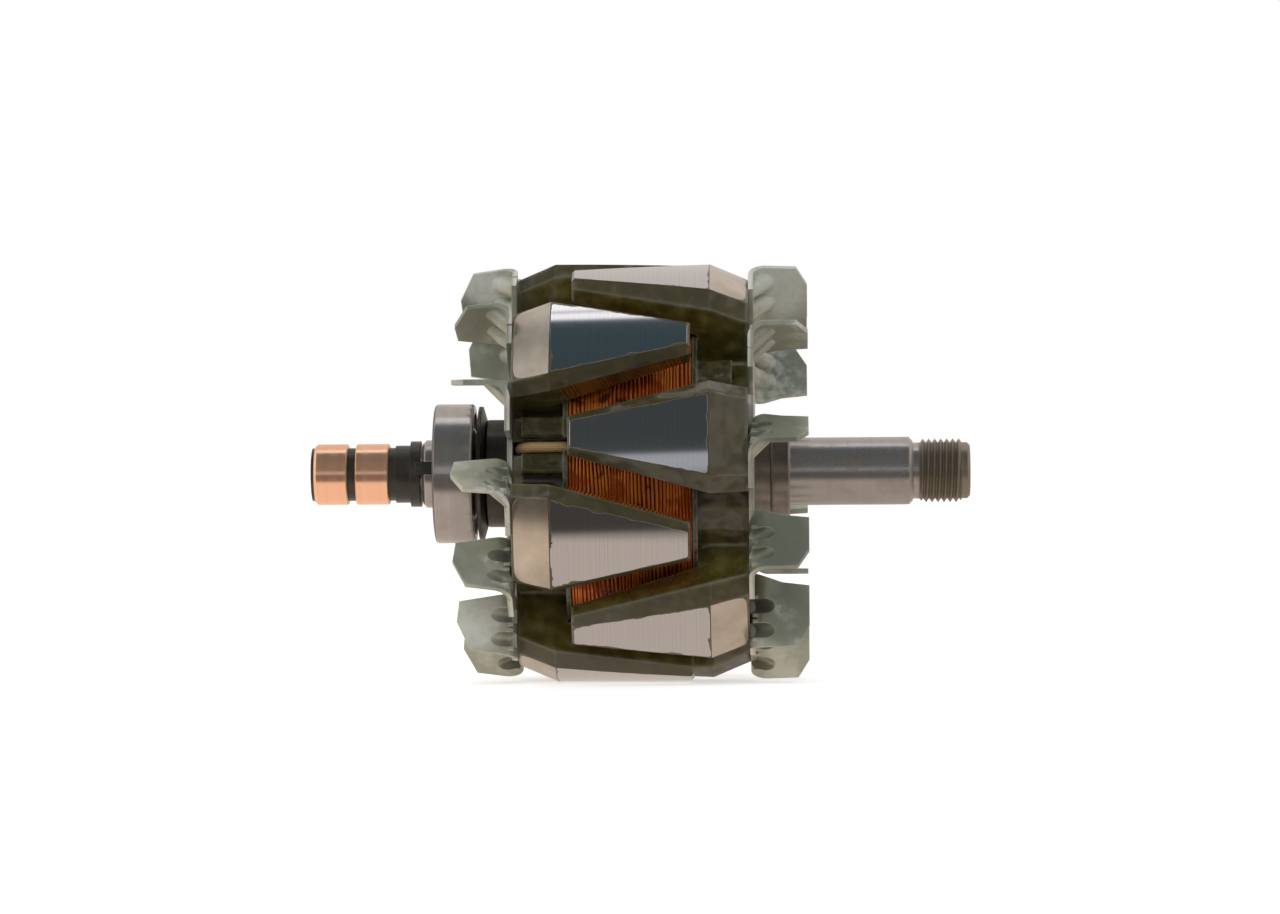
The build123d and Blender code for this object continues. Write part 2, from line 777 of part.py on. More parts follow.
export_step(slip_ring_carrier.part, "parts/slip_ring_carrier.step")

# Slip rings
with BuildPart() as slip_ring_inboard:
    with BuildSketch(end_plane(inboard_ring_start)):
        Circle(slip_ring_diameter / 2)
        Circle(ring_seat, mode=Mode.SUBTRACT)
    extrude(amount=slip_ring_length)
    rims = slip_ring_inboard.edges().filter_by(GeomType.CIRCLE).group_by(SortBy.RADIUS)[-1]
    chamfer(rims, slip_ring_chamfer)
slip_ring_inboard.part.label = "slip_ring_inboard"
export_step(slip_ring_inboard.part, "parts/slip_ring_inboard.step")

with BuildPart() as slip_ring_outboard:
    with BuildSketch(end_plane(outboard_ring_start)):
        Circle(slip_ring_diameter / 2)
        Circle(ring_seat, mode=Mode.SUBTRACT)
    extrude(amount=slip_ring_length)
    rims = slip_ring_outboard.edges().filter_by(GeomType.CIRCLE).group_by(SortBy.RADIUS)[-1]
    chamfer(rims.sort_by(Axis.X)[0], slip_ring_lead_chamfer)
    chamfer(rims.sort_by(Axis.X)[-1], slip_ring_chamfer)
slip_ring_outboard.part.label = "slip_ring_outboard"
export_step(slip_ring_outboard.part, "parts/slip_ring_outboard.step")
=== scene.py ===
import math

import bpy
import numpy as np
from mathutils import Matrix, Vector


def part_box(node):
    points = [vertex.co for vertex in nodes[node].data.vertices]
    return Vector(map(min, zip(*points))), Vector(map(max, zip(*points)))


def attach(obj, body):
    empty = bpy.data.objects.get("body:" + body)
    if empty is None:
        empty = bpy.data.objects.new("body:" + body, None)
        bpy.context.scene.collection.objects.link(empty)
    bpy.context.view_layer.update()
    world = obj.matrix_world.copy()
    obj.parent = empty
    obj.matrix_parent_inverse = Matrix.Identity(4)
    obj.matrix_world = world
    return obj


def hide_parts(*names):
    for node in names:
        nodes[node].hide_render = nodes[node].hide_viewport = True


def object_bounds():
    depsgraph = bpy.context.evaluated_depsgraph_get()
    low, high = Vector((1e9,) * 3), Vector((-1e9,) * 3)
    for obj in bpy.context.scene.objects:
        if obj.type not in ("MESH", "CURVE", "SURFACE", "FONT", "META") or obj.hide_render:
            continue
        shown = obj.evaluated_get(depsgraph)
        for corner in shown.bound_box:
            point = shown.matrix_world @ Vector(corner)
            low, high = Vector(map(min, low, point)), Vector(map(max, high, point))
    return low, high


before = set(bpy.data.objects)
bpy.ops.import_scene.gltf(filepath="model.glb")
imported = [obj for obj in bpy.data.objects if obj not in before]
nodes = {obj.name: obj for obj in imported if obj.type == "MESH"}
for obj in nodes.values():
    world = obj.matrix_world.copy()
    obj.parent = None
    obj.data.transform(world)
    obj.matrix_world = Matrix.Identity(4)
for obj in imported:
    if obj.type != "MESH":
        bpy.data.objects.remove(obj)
cad_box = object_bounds()
random = np.random.default_rng(11)
millimetre = 0.001
print("CAD box", [[round(v, 4) for v in corner] for corner in cad_box])

# %% [markdown]
# The camera comes first. It stands level with the object, a little over a metre in front of it and
# 1.7 degrees towards the threaded end, with a long lens, because the photograph shows hardly any
# perspective. It could be placed by eye. Its target and roll are read from the photograph instead,
# where the shaft's line rises 0.42 degrees to the right, so that both pictures can be compared.

# %% Camera
camera_distance = 1.25
camera_yaw = math.radians(1.7)
camera_roll = math.radians(0.42)
view_width = 0.3219
sensor_width = 36.0
target = np.array((-0.03765, 0.0, 0.0039))

lens = bpy.data.cameras.new("lens")
lens.sensor_width = sensor_width
lens.lens = sensor_width * camera_distance / view_width
lens.clip_start = 0.05
lens.clip_end = 50.0
camera = bpy.data.objects.new("camera", lens)
away = np.array((math.sin(camera_yaw), -math.cos(camera_yaw), 0.0))
camera.location = target + camera_distance * away
camera.rotation_euler = (math.pi / 2, camera_roll, camera_yaw)
bpy.context.scene.collection.objects.link(camera)
bpy.context.scene.camera = camera
bpy.context.scene.view_settings.view_transform = "Standard"
print("lens", round(lens.lens, 1), "mm")

# %% [markdown]
# Materials are trees of nodes. They could be drawn by hand in the editor, but written out they can
# be read and repeated. A few short calls keep that plain: `feed` fills one socket, `add` makes a
# node, and `maths`, `ramp` and `mix` give back the result of the nodes that are needed most.

# %% Node helpers


def feed(tree, socket, value):
    """Joins a socket to the one that feeds it, or sets its constant. Colours are given as RGB."""
    if isinstance(value, bpy.types.NodeSocket):
        tree.links.new(value, socket)
    elif socket.type == "RGBA":
        socket.default_value = (*value, 1.0)
    else:
        socket.default_value = value


def add(tree, kind, sockets=None, **settings):
    """A new shader node: settings are its own, sockets are values or the sockets that feed it."""
    node = tree.nodes.new("ShaderNode" + kind)
    for name, value in settings.items():
        setattr(node, name, value)
    for name, value in (sockets or {}).items():
        feed(tree, node.inputs[name], value)
    return node


def maths(tree, operation, *values):
    """The result of one Math node."""
    return add(tree, "Math", dict(enumerate(values)), operation=operation).outputs[0]


def plus(tree, a, b):
    """The sum a + b."""
    return maths(tree, "ADD", a, b)


def minus(tree, a, b):
    """The difference a - b."""
    return maths(tree, "SUBTRACT", a, b)


def times(tree, first, *others):
    """The product of two or more values."""
    for other in others:
        first = maths(tree, "MULTIPLY", first, other)
    return first


def unsigned(tree, value):
    """The value without its sign."""
    return maths(tree, "ABSOLUTE", value)


def ramp(tree, value, low, high, start=0.0, end=1.0):
    """start below low, end above high, with a smooth step between them."""
    sockets = {"Value": value, "From Min": low, "From Max": high, "To Min": start, "To Max": end}
    return add(tree, "MapRange", sockets, interpolation_type="SMOOTHSTEP").outputs[0]


def mix(tree, factor, a, b):
    """The colour that goes from a to b as factor goes from 0 to 1."""
    return add(tree, "Mix", {0: factor, 6: a, 7: b}, data_type="RGBA").outputs[2]


# %% [markdown]
# What several materials share could be copied into each of them, but then a change would have to be
# made in all. So it is a node group, built once and placed with other values each time. `new_group`
# opens one, `publish` closes it, and `use` places it.

# %% Group helpers


def new_group(name, inputs, outputs):
    """An empty node group with named sockets: (tree, its input sockets, its output sockets)."""
    tree = bpy.data.node_groups.new(name, "ShaderNodeTree")
    for label, kind, value in inputs:
        socket = tree.interface.new_socket(label, in_out="INPUT", socket_type="NodeSocket" + kind)
        if value is not None:
            socket.default_value = value
    for label, kind in outputs:
        tree.interface.new_socket(label, in_out="OUTPUT", socket_type="NodeSocket" + kind)
    given = tree.nodes.new("NodeGroupInput").outputs
    made = tree.nodes.new("NodeGroupOutput").inputs
    return tree, given, made


def publish(tree, made, **results):
    """Joins the results to the group's outputs by name and gives back the finished group."""
    for name, value in results.items():
        feed(tree, made[name], value)
    print("group", tree.name, "gives", ", ".join(results))
    return tree


def use(tree, group, **sockets):
    """The outputs of a node group placed in a tree, its inputs set by name."""
    node = tree.nodes.new("ShaderNodeGroup")
    node.node_tree = group
    for name, value in sockets.items():
        feed(tree, node.inputs[name], value)
    return node.outputs


# %% [markdown]
# Nearly every piece is turned about the shaft, which lies along X. UV maps could say where a point
# is, but the CAD meshes are left as they are. So the first group turns an object point into its
# station along the shaft, its radius, its angle round the shaft, which is zero towards the camera
# and grows over the top, and how far its surface faces outwards.

# %% Place on the rotor
tree, _, made = new_group(
    "shaft_frame",
    [],
    [
        ("Point", "Vector"),
        ("Along", "Float"),
        ("Radius", "Float"),
        ("Angle", "Float"),
        ("Outward", "Float"),
    ],
)
point = add(tree, "TexCoord").outputs["Object"]
x, y, z = add(tree, "SeparateXYZ", {0: point}).outputs
true_normal = add(tree, "NewGeometry").outputs["True Normal"]
_, normal_y, normal_z = add(tree, "SeparateXYZ", {0: true_normal}).outputs
squares = plus(tree, maths(tree, "POWER", y, 2.0), maths(tree, "POWER", z, 2.0))
radius = maths(tree, "SQRT", squares)
turn = maths(tree, "ARCTAN2", z, times(tree, y, -1.0))
dot = plus(tree, times(tree, y, normal_y), times(tree, z, normal_z))
shaft_frame = publish(
    tree,
    made,
    Point=point,
    Along=x,
    Radius=radius,
    Angle=maths(tree, "DEGREES", turn),
    Outward=maths(tree, "DIVIDE", dot, radius),
)

# %% [markdown]
# The next groups are patterns. `turned_lines` is noise along the shaft alone, as the tip of a lathe
# tool leaves it. `blotches` is noise cut to soft patches for stains, and `fine_grain` a speckled
# height for cast, moulded and plated skins. Images could do the same, but noise has no seams and
# stays sharp however near the camera comes.

# %% Patterns
tree, given, made = new_group(
    "turned_lines", [("Along", "Float", 0.0), ("Pitch", "Float", 0.0002)], [("Height", "Float")]
)
station = maths(tree, "DIVIDE", given["Along"], given["Pitch"])
sockets = {"W": station, "Scale": 1.0, "Detail": 3.0, "Roughness": 0.7}
lines = add(tree, "TexNoise", sockets, noise_dimensions="1D")
turned_lines = publish(tree, made, Height=lines.outputs[0])

tree, given, made = new_group(
    "blotches",
    [
        ("Point", "Vector", None),
        ("Size", "Float", 0.01),
        ("Low", "Float", 0.45),
        ("High", "Float", 0.6),
        ("Detail", "Float", 4.0),
    ],
    [("Mask", "Float")],
)
frequency = maths(tree, "DIVIDE", 1.0, given["Size"])
sockets = {"Vector": given["Point"], "Scale": frequency, "Detail": given["Detail"], "Roughness": 0.55}
cloud = add(tree, "TexNoise", sockets).outputs[0]
blotches = publish(tree, made, Mask=ramp(tree, cloud, given["Low"], given["High"]))

tree, given, made = new_group(
    "fine_grain", [("Point", "Vector", None), ("Size", "Float", 0.0004)], [("Height", "Float")]
)
frequency = maths(tree, "DIVIDE", 1.0, given["Size"])
sockets = {"Vector": given["Point"], "Scale": frequency, "Detail": 5.0, "Roughness": 0.65}
fine_grain = publish(tree, made, Height=add(tree, "TexNoise", sockets).outputs[0])

# %% [markdown]
# No real edge is perfectly sharp, and its tiny round catches the light. Bevelling the solids' loose
# triangles would tear them, so `worn_edge` rounds only the normal. Its mask is the share by which
# that normal turns away from the flat one.

# %% Worn edges
tree, given, made = new_group(
    "worn_edge", [("Width", "Float", 0.0005)], [("Normal", "Vector"), ("Mask", "Float")]
)
rounded = add(tree, "Bevel", {"Radius": given["Width"]}, samples=6).outputs[0]
sharp = add(tree, "NewGeometry").outputs["Normal"]
agreement = add(tree, "VectorMath", {0: rounded, 1: sharp}, operation="DOT_PRODUCT").outputs["Value"]
turned_away = minus(tree, 1.0, agreement)
worn_edge = publish(tree, made, Normal=rounded, Mask=ramp(tree, turned_away, 0.01, 0.12))

# %% [markdown]
# Every material is one Principled shader, because that one covers metal, varnish and plastic alike.
# `start` opens a material, and `surface` closes it with the colour, roughness, bump and normal that
# were worked out between the two. Three short calls place the pattern groups on the material's own
# points.

# %% Material helpers


def start(name):
    """A new material: (material, its tree, the shaft_frame outputs in it)."""
    material = bpy.data.materials.new(name)
    material.use_nodes = True
    material.node_tree.nodes.clear()
    return material, material.node_tree, use(material.node_tree, shaft_frame)


def patches(tree, at, size, low, high, detail=4.0):
    """Soft patches of about that size, wider the lower the two thresholds are."""
    sockets = {"Point": at["Point"], "Size": size, "Low": low, "High": high, "Detail": detail}
    return use(tree, blotches, **sockets)["Mask"]


def lathe_rings(tree, at, pitch):
    """The height of turning lines about that far apart."""
    return use(tree, turned_lines, Along=at["Along"], Pitch=pitch)["Height"]


def grain(tree, at, size):
    """The height of a fine grain of that size."""
    return use(tree, fine_grain, Point=at["Point"], Size=size)["Height"]


def surface(tree, sockets, height=None, depth=0.0001, normal=None):
    """Joins a Principled shader to the output, with a bump of that height map and depth."""
    if height is not None:
        bump = add(tree, "Bump", {"Height": height, "Distance": depth, "Strength": 1.0})
        if normal is not None:
            tree.links.new(normal, bump.inputs["Normal"])
        normal = bump.outputs[0]
    if normal is not None:
        sockets["Normal"] = normal
    shader = add(tree, "BsdfPrincipled", sockets)
    tree.links.new(shader.outputs[0], add(tree, "OutputMaterial").inputs[0])


def paint(material, *names):
    """Gives CAD nodes or new pieces this material."""
    for name in names:
        piece = nodes.get(name) or bpy.data.objects[name]
        if not piece.material_slots:
            piece.data.materials.append(material)
        for slot in piece.material_slots:
            slot.link = "OBJECT"
            slot.material = material
    print(material.name, "on", ", ".join(names))


# %% [markdown]
# The two claw poles are forged, dipped in olive varnish and only then turned. So the drum's cylinder
# is bare steel with lathe rings, the cone shoulders beside it are bare inside rounded corners, and
# the rest is varnished. Each finish could have a mesh of its own, but a CAD node's mesh is left
# alone, so masks tell one material where it is. They are worked out from the drum's own sizes: the
# claws' pitch, the half angles of their faces at tip and root, and the cones' length. Each pole's
# claws stand half a pitch from the other's.

# %% Claw pole layout
rear_pole, drive_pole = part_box("rear_claw_pole"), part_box("drive_claw_pole")
drum_radius = (rear_pole[1][2] - rear_pole[0][2]) / 2
drum_middle = (rear_pole[0][0] + drive_pole[1][0]) / 2
drum_half = drive_pole[1][0] - drum_middle
tip_reach = drum_middle - drive_pole[0][0]
cone_length = 9.4 * millimetre
cone_start = drum_half - cone_length
claw_pitch = 60.0
middle_claw = 10.6
drive_half_angle, rear_half_angle, tip_half_angle = 11.3, 12.9, 3.7
print("drum radius", round(drum_radius / millimetre, 2), "mm")

claw_steel, tree, at = start("claw_steel")
off_middle = minus(tree, at["Along"], drum_middle)
past_shoulder = minus(tree, unsigned(tree, off_middle), cone_start)
from_middle_claw = minus(tree, at["Angle"], middle_claw)

# %% [markdown]
# A cone is known by its slope. Its bare patch could be drawn by hand in a picture, but a formula
# serves all twelve. Across the cone and down it run two shares that reach 1 at the patch's edge, and
# the sum of their high powers is 1 along a rectangle with rounded corners. The varnish has covered
# the cone in the middle of the photograph again, so `is_middle` takes that one away.

# %% Bare cones
seam = 0.1 * millimetre
bare_share = 0.95
side_power, down_power = 9.0, 7.0
past_bevel, before_drum = (0.885, 0.9), (0.955, 0.94)
middle_reach = (16.0, 15.0)
on_drive = ramp(tree, off_middle, -seam, seam)
shifted = plus(tree, from_middle_claw, times(tree, on_drive, claw_pitch / 2))
off_root = minus(tree, maths(tree, "FLOORED_MODULO", shifted, claw_pitch), claw_pitch / 2)
root_half_angle = ramp(tree, on_drive, 0.0, 1.0, rear_half_angle, drive_half_angle)
across = maths(tree, "DIVIDE", unsigned(tree, off_root), root_half_angle)
down = maths(tree, "DIVIDE", past_shoulder, cone_length * bare_share)
down = maths(tree, "MAXIMUM", down, 0.0)
across_raised = maths(tree, "POWER", across, side_power)
patch_edge = plus(tree, across_raised, maths(tree, "POWER", down, down_power))
steeper_than_drum = ramp(tree, at["Outward"], *before_drum)
on_cone = times(tree, ramp(tree, at["Outward"], *past_bevel), steeper_than_drum)
is_middle = times(tree, ramp(tree, unsigned(tree, from_middle_claw), *middle_reach), on_drive)
bare_cone = times(tree, on_cone, ramp(tree, patch_edge, 1.05, 0.9), minus(tree, 1.0, is_middle))

# %% [markdown]
# The claws' turned faces are narrow at the tip and wide at the root, and the varnish has crept back
# over them from all sides, unevenly. A picture could show that, but distances to the outline follow
# the claws by themselves. `side_gap` is the one to the slanting side, whose angle grows evenly from
# tip to root, and `end_gap` the one to the tip or the shoulder. Only in a corner are both less than
# the corner radius. So that radius, less the root of the sum of the squares of what they lack, is
# the distance to an outline with round corners. A face is bare where it is more than a noisy creep.

# %% Bare drum faces
degree_on_drum = math.radians(drum_radius)
corner_radius = 1.3 * millimetre
least_creep, more_creep = 0.18 * millimetre, 0.8 * millimetre
nearly_drum, fully_drum = drum_radius - 0.16 * millimetre, drum_radius - 0.1 * millimetre
outline_fade = 0.08 * millimetre


def lack_squared(gap):
    """The square of what a gap lacks to the corner radius, 0 where it lacks nothing."""
    return maths(tree, "POWER", maths(tree, "MAXIMUM", minus(tree, corner_radius, gap), 0.0), 2.0)


nearest = plus(tree, from_middle_claw, claw_pitch / 4)
nearest = maths(tree, "FLOORED_MODULO", nearest, claw_pitch)
is_rear = maths(tree, "GREATER_THAN", nearest, claw_pitch / 2)
off_face = minus(tree, maths(tree, "MODULO", nearest, claw_pitch / 2), claw_pitch / 4)
to_root = times(tree, off_middle, minus(tree, 1.0, times(tree, is_rear, 2.0)))
wider_root = rear_half_angle - drive_half_angle
root_angle = maths(tree, "MULTIPLY_ADD", is_rear, wider_root, drive_half_angle)
sockets = {"Value": to_root, "From Min": -tip_reach, "From Max": cone_start}
share = add(tree, "MapRange", sockets, clamp=False).outputs[0]
taper = minus(tree, root_angle, tip_half_angle)
face_angle = maths(tree, "MULTIPLY_ADD", taper, share, tip_half_angle)
side_gap = times(tree, minus(tree, face_angle, unsigned(tree, off_face)), degree_on_drum)
end_gap = maths(tree, "MINIMUM", times(tree, past_shoulder, -1.0), plus(tree, to_root, tip_reach))
lacking = maths(tree, "SQRT", plus(tree, lack_squared(side_gap), lack_squared(end_gap)))
inside_outline = minus(tree, corner_radius, lacking)
runs = patches(tree, at, size=0.005, low=0.35, high=0.75)
creep = maths(tree, "MULTIPLY_ADD", maths(tree, "POWER", runs, 2.0), more_creep, least_creep)
on_drum = ramp(tree, at["Radius"], nearly_drum, fully_drum)
bare_drum = times(tree, on_drum, ramp(tree, minus(tree, inside_outline, creep), 0.0, outline_fade))

# %% [markdown]
# The steel is grey on the cylinder, tinted by the rings, and straw and hazy on the cones. The varnish
# is dark and cloudy. On the bevels that face outwards it is thinner and greyer: the thinner coat is
# real, and the greyer tone is partly a painted sheen of the pale room. Along the rounded edges it is
# paler, which is a painted highlight. It could be a second skin of mesh, but it is far too thin for
# that. So a clear coat stands for it, and its drips only bend the light. Below the turned radius the
# edges look rounded, while the turned faces keep their crisp outline.

# %% Claw pole material
bevel_outward, bevel_radius = (0.5, 0.62), (0.04, 0.044)
rounded_from, rounded_to = drum_radius - 0.4 * millimetre, drum_radius - 1.2 * millimetre
drip_height, ring_height = 0.9, 0.008
edge = use(tree, worn_edge, Width=1.8 * millimetre)
bare = maths(tree, "MAXIMUM", bare_drum, bare_cone)
covered = minus(tree, 1.0, bare)
rings = lathe_rings(tree, at, pitch=0.4 * millimetre)
haze = patches(tree, at, size=0.009, low=0.3, high=0.75)
drum_steel = mix(tree, rings, (0.52, 0.5, 0.5), (0.68, 0.66, 0.66))
cone_steel = mix(tree, haze, (0.52, 0.45, 0.36), (0.66, 0.6, 0.52))
metal = mix(tree, bare_cone, drum_steel, cone_steel)
cloud = patches(tree, at, size=0.005, low=0.35, high=0.75)
varnish = mix(tree, cloud, (0.056, 0.044, 0.007), (0.13, 0.105, 0.03))
far_out = ramp(tree, at["Radius"], *bevel_radius)
# Partly painted sheen: the outward bevels get a greyer tone as well as a thinner coat.
thin_varnish_and_sheen = times(tree, ramp(tree, at["Outward"], *bevel_outward), far_out)
varnish = mix(tree, times(tree, thin_varnish_and_sheen, 0.7), varnish, (0.068, 0.06, 0.036))
rounded_part = times(tree, covered, ramp(tree, at["Radius"], rounded_from, rounded_to))
# Painted highlight: the rounded edges of the varnish are mixed paler.
varnish = mix(tree, times(tree, edge["Mask"], rounded_part, 0.45), varnish, (0.42, 0.4, 0.32))
drips = patches(tree, at, size=0.007, low=0.25, high=0.75, detail=1.0)
drip_relief = times(tree, drips, drip_height, covered)
ring_relief = times(tree, rings, ring_height, bare)
flat_normal = add(tree, "NewGeometry").outputs["Normal"]
sockets = {0: rounded_part, 4: flat_normal, 5: edge["Normal"]}
normal = add(tree, "Mix", sockets, data_type="VECTOR").outputs[1]
surface(
    tree,
    {
        "Base Color": mix(tree, bare, varnish, metal),
        "Metallic": bare,
        "Roughness": ramp(tree, plus(tree, covered, bare_cone), 0.0, 1.0, 0.11, 0.27),
        "Coat Weight": minus(tree, covered, times(tree, thin_varnish_and_sheen, 0.5)),
        "Coat Roughness": 0.05,
    },
    height=plus(tree, drip_relief, ring_relief),
    depth=1.0 * millimetre,
    normal=normal,
)
paint(claw_steel, "drive_claw_pole", "rear_claw_pole")

# %% [markdown]
# The bobbin's flanges and pads carry the same varnish, thicker and glossier than on the steel. The
# claw poles' material could be used again, but its masks belong to their shape, so a short one is
# mixed anew. The core is hidden between the poles, and plain dark steel is enough for it.

# %% Bobbin and core
bobbin_resin, tree, at = start("bobbin_resin")
edge = use(tree, worn_edge, Width=0.9 * millimetre)
cloud = patches(tree, at, size=0.004, low=0.4, high=0.7)
resin = mix(tree, cloud, (0.036, 0.029, 0.006), (0.085, 0.069, 0.023))
# Painted highlight: the resin's edges are mixed paler.
resin = mix(tree, times(tree, edge["Mask"], 0.4), resin, (0.42, 0.4, 0.32))
surface(
    tree,
    {"Base Color": resin, "Roughness": 0.22, "Coat Weight": 0.9, "Coat Roughness": 0.05},
    height=patches(tree, at, size=0.004, low=0.25, high=0.75, detail=1.0),
    depth=0.6 * millimetre,
    normal=edge["Normal"],
)
paint(bobbin_resin, "coil_bobbin")

core_steel, tree, at = start("core_steel")
surface(
    tree,
    {"Base Color": (0.12, 0.11, 0.1), "Metallic": 1.0, "Roughness": 0.45},
    height=grain(tree, at, 0.8 * millimetre),
    depth=0.05 * millimetre,
)
paint(core_steel, "pole_core")

# %% [markdown]
# The fans are zinc-plated sheet. A few blades are painted paler or darker than the rest, as painted
# light and painted shade where they should catch more or less light. A noise would put such patches
# anywhere. So `near` marks those blades by their place as seen from the front, which was read from the
# photograph.

# %% Painted light and shade on the blades


def near(tree, point, places):
    """1 close to any of the places (station, height, reach) as seen from the front, 0 elsewhere."""
    from_front = {0: point, 1: (1.0, 0.0, 1.0)}
    seen_flat = add(tree, "VectorMath", from_front, operation="MULTIPLY").outputs[0]
    mask = 0.0
    for station, height, reach in places:
        ends = {0: seen_flat, 1: (station, 0.0, height)}
        gap = add(tree, "VectorMath", ends, operation="DISTANCE").outputs["Value"]
        mask = maths(tree, "MAXIMUM", mask, ramp(tree, gap, reach, reach * 0.4))
    return mask


# Blades painted paler, as painted light: (station, height, reach).
painted_light_blades = (
    (-0.0764, 0.0475, 0.0075),
    (-0.002, 0.0465, 0.011),
    (-0.0796, -0.0352, 0.012),
)
# Blades painted darker, as painted shade: (station, height, reach).
painted_shade_blades = (
    (-0.002, -0.0163, 0.012),
    (-0.001, -0.0352, 0.011),
    (-0.002, 0.0109, 0.008),
    (-0.0785, 0.039, 0.0085),
)
print(len(painted_light_blades), "pale and", len(painted_shade_blades), "dark blades")

# %% [markdown]
# The zinc has a grey-green satin bloom. It is paler where the plating has spangled, along the
# sheared edges, and most of all in patches round the discs' rims. Plain metal could stand for it,
# but zinc that has turned dull is half a metal only, so it is less metallic the paler it is.

# %% Fan material
drive_disc, rear_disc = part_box("drive_fan")[0][0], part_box("rear_fan")[1][0]
rim_outward, rim_width = (0.5, 0.8), (0.0013, 0.0003)
fan_zinc, tree, at = start("fan_zinc")
edge = use(tree, worn_edge, Width=0.4 * millimetre)
spangle = patches(tree, at, size=0.006, low=0.4, high=0.68)
stain = patches(tree, at, size=0.017, low=0.42, high=0.65)
speckle = patches(tree, at, size=0.0016, low=0.35, high=0.6)
bloom_and_painted_light = times(tree, patches(tree, at, size=0.024, low=0.55, high=0.66), speckle)
# Painted light: the listed blades are mixed paler and less metallic, joined to the real bloom.
painted_light = times(tree, near(tree, at["Point"], painted_light_blades), ramp(tree, speckle, 0.0, 1.0, 0.75, 1.0))
bloom_and_painted_light = maths(tree, "MAXIMUM", bloom_and_painted_light, painted_light)
# Painted shade: the listed blades are mixed darker.
dark = times(tree, near(tree, at["Point"], painted_shade_blades), 0.85)
off_drive_disc = unsigned(tree, minus(tree, at["Along"], drive_disc))
off_rear_disc = unsigned(tree, minus(tree, at["Along"], rear_disc))
off_discs = maths(tree, "MINIMUM", off_drive_disc, off_rear_disc)
rim = times(tree, ramp(tree, at["Outward"], *rim_outward), ramp(tree, off_discs, *rim_width))
rubbed = patches(tree, at, size=0.02, low=0.3, high=0.6)
rim = times(tree, rim, ramp(tree, rubbed, 0.0, 1.0, 0.25, 0.8))
zinc = mix(tree, spangle, (0.46, 0.475, 0.39), (0.62, 0.635, 0.55))
zinc = mix(tree, times(tree, stain, 0.5), zinc, (0.34, 0.36, 0.28))
zinc = mix(tree, dark, zinc, (0.26, 0.285, 0.225))
zinc = mix(tree, times(tree, bloom_and_painted_light, 0.7), zinc, (0.7, 0.73, 0.69))
zinc = mix(tree, times(tree, edge["Mask"], 0.5), zinc, (0.7, 0.71, 0.65))
zinc = mix(tree, rim, zinc, (0.84, 0.79, 0.73))
surface(
    tree,
    {
        "Base Color": zinc,
        "Metallic": ramp(tree, maths(tree, "MAXIMUM", bloom_and_painted_light, rim), 0.0, 1.0, 0.64, 0.2),
        "Roughness": ramp(tree, spangle, 0.0, 1.0, 0.45, 0.36),
    },
    height=grain(tree, at, 1.1 * millimetre),
    depth=0.1 * millimetre,
    normal=edge["Normal"],
)
paint(fan_zinc, "drive_fan", "rear_fan")

# %% [markdown]
# Ground and turned steel: the shaft, the collars beside the drive fan, the rear collar with its
# slinger, and the bearing's rings. Each could have a material of its own, but they differ only in
# tint, pitch and polish, so they share one recipe. A thread holds oil and an outer edge dirt, so
# the recipe has a span of stations that is grimy. A station as far off as `far` is on no piece.

# %% Turned steel recipe
far = 1.0
nowhere = (far, far)
fade = 0.3 * millimetre


def turned_steel(name, dark, light, pitch, roughness, stain, stain_weight, oily=nowhere, metallic=1.0):
    """Bare steel with lathe rings of that pitch, tinted between two colours, with soft stains.

    Between the two stations of oily it is stained all over and rougher, as an oily thread is."""
    material, tree, at = start(name)
    edge = use(tree, worn_edge, Width=0.35 * millimetre)
    rings = lathe_rings(tree, at, pitch)
    bands = lathe_rings(tree, at, pitch * 12)
    patch = patches(tree, at, size=0.006, low=0.4, high=0.8)
    colour = mix(tree, times(tree, plus(tree, rings, bands), 0.5), dark, light)
    colour = mix(tree, times(tree, patch, stain_weight), colour, stain)
    colour = mix(tree, times(tree, edge["Mask"], 0.3), colour, light)
    past_start = ramp(tree, at["Along"], oily[0] - fade, oily[0] + fade)
    before_end = ramp(tree, at["Along"], oily[1] + fade, oily[1] - fade)
    grime = times(tree, past_start, before_end)
    colour = mix(tree, times(tree, grime, 0.8), colour, stain)
    polish = ramp(tree, patch, 0.0, 1.0, roughness, roughness + 0.08)
    sockets = {
        "Base Color": colour,
        "Metallic": metallic,
        "Roughness": maths(tree, "MULTIPLY_ADD", grime, 0.16, polish),
    }
    surface(tree, sockets, height=rings, depth=0.003 * millimetre, normal=edge["Normal"])
    return material


# %% [markdown]
# The shaft and the bearing are ground fine, so they are pale and smooth, and the collars are turned
# coarser. Pure metal would mirror the dark room too darkly, so the two bright steels are a little
# less metallic than that. The balls are polished, and no line could be seen on them.

# %% Turned steels
shaft_steel = turned_steel(
    "shaft_steel",
    dark=(0.37, 0.34, 0.325),
    light=(0.52, 0.485, 0.465),
    pitch=0.3 * millimetre,
    roughness=0.24,
    stain=(0.27, 0.225, 0.165),
    stain_weight=0.35,
    oily=(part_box("shaft")[1][0] - 12.9 * millimetre, far),
    metallic=0.82,
)
collar_steel = turned_steel(
    "collar_steel",
    dark=(0.23, 0.19, 0.155),
    light=(0.41, 0.36, 0.325),
    pitch=0.5 * millimetre,
    roughness=0.36,
    stain=(0.12, 0.09, 0.06),
    stain_weight=0.5,
)
dark_steel = turned_steel(
    "dark_steel",
    dark=(0.05, 0.045, 0.04),
    light=(0.11, 0.1, 0.09),
    pitch=0.5 * millimetre,
    roughness=0.32,
    stain=(0.03, 0.022, 0.016),
    stain_weight=0.5,
)
ring_steel = turned_steel(
    "ring_steel",
    dark=(0.4, 0.365, 0.34),
    light=(0.56, 0.52, 0.49),
    pitch=0.25 * millimetre,
    roughness=0.2,
    stain=(0.1, 0.085, 0.07),
    stain_weight=0.2,
    oily=(-far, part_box("bearing_outer_ring")[0][0] + 0.5 * millimetre),
    metallic=0.82,
)
